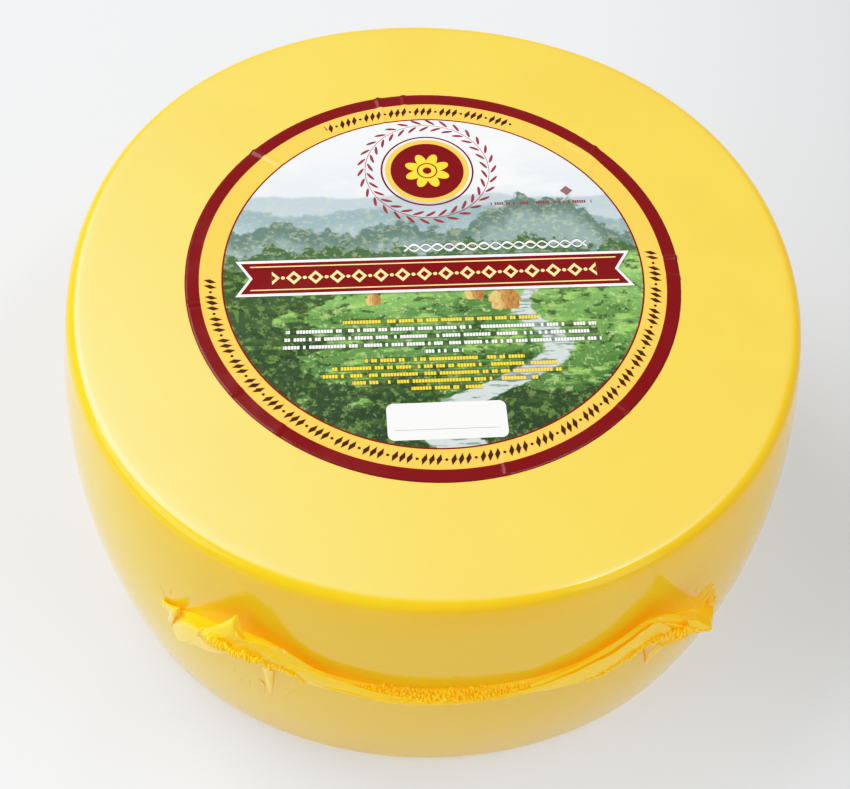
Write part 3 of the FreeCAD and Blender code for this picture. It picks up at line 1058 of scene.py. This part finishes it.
def paintMeadow(art):
    ground = art.plus(art.up, art.times(art.minus(art.noise(0.05, seed=6.0), 0.5), 14))
    meadow = ramp(art.tree, ground, 5.4, 3.0)
    art.paint(meadow, ink(126, 172, 92))
    art.paint(ramp(art.tree, ground, 0.0, -34.0), ink(86, 130, 62))
    art.paint(ramp(art.tree, ground, -34.0, -62.0), ink(50, 80, 38))
    patches = (
        # scale, stretch, seed, low, high, colour, strength
        (0.045, (1, 2.4, 1), 7.0, 0.46, 0.62, ink(60, 104, 42), 0.75),
        (0.10, (1, 2.6, 1), 8.0, 0.52, 0.66, ink(156, 196, 100), 0.75),
        (0.22, (1, 1.8, 1), 9.0, 0.54, 0.62, ink(30, 58, 26), 0.75),
        (0.40, (1, 1.5, 1), 10.0, 0.56, 0.66, ink(176, 196, 126), 0.60),
        (0.95, (1.2, 0.7, 1), 11.0, 0.58, 0.70, ink(206, 214, 168), 0.50),
    )
    for scale, stretch, seed, low, high, colour, strength in patches:
        spots = ramp(art.tree, art.noise(scale, stretch, seed, 5.0), low, high)
        art.paint(art.times(meadow, spots), colour, strength)
    paintBushes(art, meadow)
    paintStream(art)
    for x, y, half in ((22.0, -12.5, 5.2), (12.5, -9.4, 3.4), (-20.0, -11.0, 2.6)):
        paintHayrick(art, x, y, half)


def paintBushes(art, meadow):
    # dark thickets at the meadow's left side and along the front
    left = ramp(art.tree, art.across, -14.0, -58.0)
    front = ramp(art.tree, art.up, -34.0, -58.0)
    share = art.calc("MAXIMUM", art.times(left, 0.85), front)
    clumps = art.plus(art.noise(0.085, (1, 1.3, 1), 15.0, 5.0), art.times(share, 0.30))
    mask = art.times(meadow, ramp(art.tree, clumps, 0.64, 0.70))
    art.paint(mask, ink(34, 56, 30), 0.88)
    leaves = ramp(art.tree, art.noise(0.55, (1, 1, 1), 16.0, 4.0), 0.52, 0.64)
    art.paint(art.times(mask, leaves), ink(104, 134, 66), 0.75)


def paintStream(art):
    # winds down from the right and widens towards the front
    bend = art.times(art.calc("SINE", art.times(art.up, 0.14)), 11.0)
    line = art.plus(art.plus(bend, art.times(art.up, 0.62)), 46.0)
    width = ramp(art.tree, art.up, 2.0, -60.0, 0.6, 8.5, smooth=False)
    ripple = art.times(art.minus(art.noise(0.3, seed=12.0), 0.5), 6.0)
    aside = art.plus(art.calc("ABSOLUTE", art.minus(art.across, line)), ripple)
    water = ramp(art.tree, art.minus(aside, width), -0.9, 0.5, 1.0, 0.0)
    water = art.times(water, ramp(art.tree, art.up, 2.6, 0.0))
    art.paint(water, ink(196, 208, 204), 0.92)
    dark = ramp(art.tree, art.noise(0.35, (0.5, 2.6, 1), 13.0), 0.5, 0.64)
    art.paint(art.times(water, dark), ink(96, 118, 100), 0.8)


def paintHayrick(art, x, y, half):
    away = art.radiusFrom(x, y)[0]
    shape = art.times(art.within(away, half, 0.3), ramp(art.tree, art.up, y - 0.5, y + 0.3))
    foot = art.roundedBox(x, y - half * 0.22, half * 0.86, half * 0.42, half * 0.25)
    shape = art.calc("MAXIMUM", shape, foot)
    art.paint(shape, ink(176, 126, 62))
    sun = ramp(art.tree, art.across, x + half * 0.2, x - half * 0.6)
    art.paint(art.times(shape, sun), ink(226, 190, 116), 0.85)
    straw = ramp(art.tree, art.noise(1.0, (1.6, 0.5, 1), 14.0), 0.5, 0.62)
    art.paint(art.times(shape, straw), ink(110, 72, 34), 0.5)


def paintRows(art, top, pitch, count, halfLengths, centre, colour, seed, dashes=1.05, shadow=0.55):
    # rows of short dashes in place of small print
    for i in range(count):
        level = top - pitch * i
        height = art.away(art.up, level)
        steps = art.times(art.across, dashes)
        cell = art.calc("FLOOR", steps)
        spot = addNode(art.tree, "ShaderNodeCombineXYZ")
        setInput(art.tree, spot.inputs[0], cell)
        spot.inputs[1].default_value = seed + i * 3.7
        chance = addNode(art.tree, "ShaderNodeTexWhiteNoise", noise_dimensions="2D")
        setInput(art.tree, chance.inputs["Vector"], spot.outputs[0])
        filled = art.calc("GREATER_THAN", chance.outputs["Value"], 0.24)
        filled = art.times(filled, art.between(art.calc("FRACT", steps), 0.06, 0.84, 0.05))
        inRow = art.within(art.away(art.across, centre), halfLengths[i])
        dash = art.times(art.times(filled, inRow), art.within(height, 0.62))
        outline = art.times(inRow, art.within(height, 1.05, 0.3))
        art.paint(outline, ink(30, 44, 24), shadow)
        art.paint(dash, colour)


def paintBanner(art):
    # a ribbon with notched ends and a row of lozenges
    halfHeight, halfLength, x, y = 6.3, 62.6, 0.4, -0.6
    height = art.away(art.up, y)
    along = art.away(art.across, x)
    notch = art.times(art.minus(halfHeight, height), 0.62)
    end = art.plus(along, notch)
    for grow, colour in ((1.5, ink(70, 82, 60)), (0.95, printing["white"]), (0.0, printing["maroon"])):
        mask = art.times(art.within(end, halfLength + grow), art.within(height, halfHeight + grow))
        art.paint(mask, colour, 0.45 if grow == 1.5 else 1.0)
    inside = art.within(end, halfLength - 2.2)
    art.paint(art.times(inside, art.between(height, 4.55, 4.95, 0.06)), printing["cream"])
    cell = art.calc("ABSOLUTE", art.minus(art.calc("FRACT", art.over(along, 7.0)), 0.5))
    lozenge = art.plus(art.times(cell, 7.0 / 2.5), art.over(height, 2.7))
    row = art.within(along, 52.5)
    art.paint(art.times(row, art.within(lozenge, 1.0, 0.05)), printing["cream"])
    art.paint(art.times(row, art.within(lozenge, 0.52, 0.05)), printing["maroon"])
    dots = art.times(art.minus(0.5, cell), 7.0)
    art.paint(art.times(row, art.within(art.length(dots, height), 0.62)), printing["cream"])


def paintMedallion(art):
    away, turn = art.radiusFrom(0.8, 44.2)
    for count, middle, slant, shift in ((30, 19.4, 0.55, 0.0), (30, 22.6, -0.55, 0.5)):
        cell = art.calc("FRACT", art.plus(art.times(turn, count / (2 * math.pi)), shift))
        across = art.times(art.minus(cell, 0.5), 2 * math.pi * middle / count)
        out = art.minus(away, middle)
        leaf = art.plus(out, art.times(across, slant))
        wide = art.over(leaf, 0.62)
        long = art.over(across, 1.75)
        shape = art.plus(art.times(wide, wide), art.times(long, long))
        art.paint(art.within(shape, 1.0, 0.15), ink(140, 46, 56))
    art.paint(art.between(away, 20.85, 21.15), ink(140, 46, 56))
    art.paint(art.between(away, 15.1, 15.8), printing["maroon"])
    art.paint(art.within(away, 14.3), printing["gold"])
    art.paint(art.within(away, 12.4), printing["maroon"])
    petals = art.calc("ABSOLUTE", art.calc("SINE", art.times(turn, 4.0)))
    rosette = art.plus(art.times(petals, 3.4), 4.4)
    art.paint(art.within(art.minus(away, rosette), 0.0), printing["yellow"])
    art.paint(art.between(away, 3.0, 3.5), printing["maroon"])
    art.paint(art.within(away, 1.5), printing["maroon"])


def paintVine(art):
    # a pale tendril over the ribbon's right half
    wave = art.times(art.calc("SINE", art.times(art.across, 0.82)), 1.35)
    level = art.minus(art.up, 10.4)
    line = art.calc("ABSOLUTE", art.minus(level, wave))
    run = art.within(art.away(art.across, 21.0), 30.0)
    curl = art.calc("ABSOLUTE", art.plus(level, wave))
    for stroke, width in ((line, 0.42), (curl, 0.26)):
        art.paint(art.times(run, art.within(stroke, width + 0.32, 0.15)), ink(52, 70, 66), 0.6)
        art.paint(art.times(run, art.within(stroke, width)), printing["white"])


def paintBorder(art):
    away, turn = art.radiusFrom(0.0, 0.0)
    art.paint(art.minus(1.0, art.within(away, printing["pictureEdge"])), printing["maroon"])
    art.paint(art.minus(1.0, art.within(away, printing["yellowRing"])), printing["gold"])
    cells = art.times(turn, printing["borderCells"] / (2 * math.pi))
    pitch = 2 * math.pi * printing["borderRadius"] / printing["borderCells"]
    across = art.times(art.minus(art.calc("FRACT", cells), 0.5), pitch)
    out = art.minus(away, printing["borderRadius"])
    leaning = art.calc("ABSOLUTE", art.plus(across, art.times(out, 0.30)))
    leaf = art.plus(art.over(leaning, 0.90), art.over(art.calc("ABSOLUTE", out), 2.1))
    odd = art.calc("GREATER_THAN", art.calc("FRACT", art.times(cells, 0.25)), 0.25)
    dot = art.length(across, out)
    motif = art.times(art.within(leaf, 1.0, 0.12), odd)
    motif = art.calc("MAXIMUM", motif, art.within(dot, 0.50))
    degrees = art.times(turn, 180 / math.pi)
    low = art.times(art.calc("GREATER_THAN", degrees, -185.0), art.calc("LESS_THAN", degrees, 5.0))
    high = art.times(art.calc("GREATER_THAN", degrees, 64.0), art.calc("LESS_THAN", degrees, 117.0))
    art.paint(art.times(motif, art.calc("MAXIMUM", low, high)), printing["brown"])
    art.paint(art.minus(1.0, art.within(away, printing["outerRing"])), printing["maroon"])


def makeLabelMaterial():
    material, tree, shader = newMaterial("label print")
    place = addNode(tree, "ShaderNodeTexCoord").outputs["Object"]
    centre = [-c / mm for c in label["centre"]]
    flat = stretched(tree, place, (1 / mm, 1 / mm, 0), 0.0, (*centre, 0))
    level = stretched(tree, flat, (1, 1, 0), -label["tilt"])
    art = Painter(tree, level, ink(238, 240, 243))
    paintLandscape(art)
    paintMedallion(art)
    paintVine(art)
    paintBanner(art)
    art.paint(art.within(art.plus(art.away(art.across, 47.0), art.away(art.up, 33.6)), 2.2),
              printing["maroon"], 0.85)
    paintRows(art, 28.6, 3.0, 1, (17.0,), 38.0, ink(128, 60, 70), 5.0, 1.3, 0.0)
    paintRows(art, -19.4, 3.0, 1, (31.0,), 1.0, printing["yellow"], 1.0)
    paintRows(art, -22.6, 3.0, 4, (49.0, 49.5, 50.0, 6.0), 1.0, printing["white"], 2.0)
    paintRows(art, -34.6, 2.75, 5, (25.0, 35.0, 38.0, 29.0, 11.0), 1.0, printing["yellow"], 3.0)
    art.paint(art.roundedBox(0.1, -57.8, 18.3, 6.7, 2.2), printing["white"])
    rule = art.times(art.within(art.away(art.up, -60.9), 0.14), art.within(art.away(art.across, 0.1), 16))
    art.paint(rule, ink(110, 112, 110), 0.8)
    paintBorder(art)
    setInput(tree, shader.inputs["Base Color"], art.colour)
    shader.inputs["Specular IOR Level"].default_value = label["specular"]
    worn = noiseNode(tree, place, 45.0, 3.0)
    setInput(tree, shader.inputs["Roughness"],
             ramp(tree, worn, 0.3, 0.7, label["roughness"] - 0.05, label["roughness"] + 0.07))
    fibre = bump(tree, noiseNode(tree, place, 1500.0, 2.0), 0.04, 0.1 * mm)
    wave = bump(tree, noiseNode(tree, place, 55.0, 2.0), 0.5, 1.0 * mm, fibre)
    setInput(tree, shader.inputs["Normal"], wave)
    return material


labelSheet = makeLabelSheet(makeLabelMaterial())
print("label made")

camera = {
    "back": 333.3 * mm, "up": 521.3 * mm,
    "yaw": -0.14, "pitch": 54.99, "roll": 3.49,
    "lens": 69.3,
}


def makeCamera():
    yaw, pitch = math.radians(camera["yaw"]), math.radians(camera["pitch"])
    ahead = Vector((math.sin(yaw) * math.cos(pitch), math.cos(yaw) * math.cos(pitch), -math.sin(pitch)))
    data = bpy.data.cameras.new("camera")
    data.lens = camera["lens"]
    data.sensor_width = 36.0
    data.sensor_fit = "HORIZONTAL"
    eye = bpy.data.objects.new("camera", data)
    roll = Matrix.Rotation(math.radians(camera["roll"]), 4, "Z")
    turn = ahead.to_track_quat("-Z", "Y").to_matrix().to_4x4() @ roll
    eye.matrix_world = Matrix.Translation((0, -camera["back"], camera["up"])) @ turn
    scene.collection.objects.link(eye)
    scene.camera = eye


studio = {
    # name: azimuth, elevation in degrees, distance, width and height in metres, watts
    "softboxes": {
        "backLeft": (152, 54, 1.8, 1.1, 1.1, 24),
        "left": (196, 34, 2.2, 1.6, 1.2, 14),
        "frontRight": (-41, 30, 1.6, 0.5, 0.9, 1.8),
        "rimLight": (-14, 64, 1.6, 0.6, 0.15, 6),
    },
    "room": 0.43,                  # strength of the white all round
    "paper": (0.50, 0.505, 0.51, 1),
    "paperRoughness": 0.9,
    "paperHalf": 12.0,             # half the sheet's width
    "paperLight": (0.90, 0.96, 1.02, 1),
    "paperStrength": 0.35,
    "paintedLightFront": 0.09,             # painted light: what the sheet's glow gains in front of the wheel
    "paintedShadeRight": 0.21,             # painted shade: what its glow loses to the right of the wheel, from its middle backwards
    "shoulder": ((0.35, 0.35), (0.7, 0.69), (0.9, 0.815), (1.15, 0.93)),     # light given, and light shown
    "shoulderEnd": (1.6, 0.99),
}


def makeSoftbox(name, azimuth, elevation, distance, width, height, power):
    around, up = math.radians(azimuth), math.radians(elevation)
    level = math.cos(up) * distance
    place = Vector((math.cos(around) * level, math.sin(around) * level, math.sin(up) * distance))
    data = bpy.data.lights.new(name, "AREA")
    data.shape = "RECTANGLE"
    data.size = width
    data.size_y = height
    data.energy = power
    lamp = bpy.data.objects.new(name, data)
    lamp.location = place
    lamp.rotation_euler = (-place).to_track_quat("-Z", "Y").to_euler()
    scene.collection.objects.link(lamp)


def makeFloor():
    # glowing paper under and behind the wheel, with painted shade to its right and painted light in front
    material, tree, shader = newMaterial("white paper")
    shader.inputs["Base Color"].default_value = studio["paper"]
    axes = addNode(tree, "ShaderNodeSeparateXYZ")
    setInput(tree, axes.inputs[0], addNode(tree, "ShaderNodeTexCoord").outputs["Object"])
    # painted shade to the right of the wheel and painted light in front of it, in the paper's glow
    rightward = ramp(tree, axes.outputs["X"], 0.03, 0.25)
    backward = ramp(tree, axes.outputs["Y"], -0.18, 0.0)
    dim = calc(tree, "MULTIPLY", calc(tree, "MULTIPLY", rightward, backward), -studio["paintedShadeRight"])
    front = ramp(tree, axes.outputs["Y"], -0.05, -0.24, 0.0, studio["paintedLightFront"])
    strength = calc(tree, "ADD", calc(tree, "ADD", dim, front), studio["paperStrength"])
    shader.inputs["Emission Color"].default_value = studio["paperLight"]
    setInput(tree, shader.inputs["Emission Strength"], strength)
    shader.inputs["Roughness"].default_value = studio["paperRoughness"]
    half = studio["paperHalf"]
    corners = [(-half, -half, 0), (half, -half, 0), (half, half, 0), (-half, half, 0)]
    floor = meshFrom("floor", corners, [(0, 1, 2, 3)], material)


def softenHighlights():
    # a soft shoulder, as film has, so that pale highlights stay yellow
    view = scene.view_settings
    view.view_transform = "Standard"
    view.use_curve_mapping = True
    curves = view.curve_mapping
    curves.clip_max_x = 2.0
    curves.clip_max_y = 2.0
    shoulder = curves.curves[3]
    shoulder.points[-1].location = studio["shoulderEnd"]
    for given, shown in studio["shoulder"]:
        shoulder.points.new(given, shown)
    curves.update()


def makeRoom():
    world = bpy.data.worlds.new("studio")
    world.use_nodes = True
    background = world.node_tree.nodes["Background"]
    background.inputs["Color"].default_value = (1, 1, 1, 1)
    background.inputs["Strength"].default_value = studio["room"]
    scene.world = world


makeCamera()
makeFloor()
for lampName, values in studio["softboxes"].items():
    makeSoftbox(lampName, *values)
makeRoom()
softenHighlights()
print("studio made")

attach(filmSkin, body)
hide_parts("wheel")
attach(labelSheet, body)
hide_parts("label")
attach(sidePuckers, body)
for piece in seamPieces:
    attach(piece, body)
    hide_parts("seam_fin")
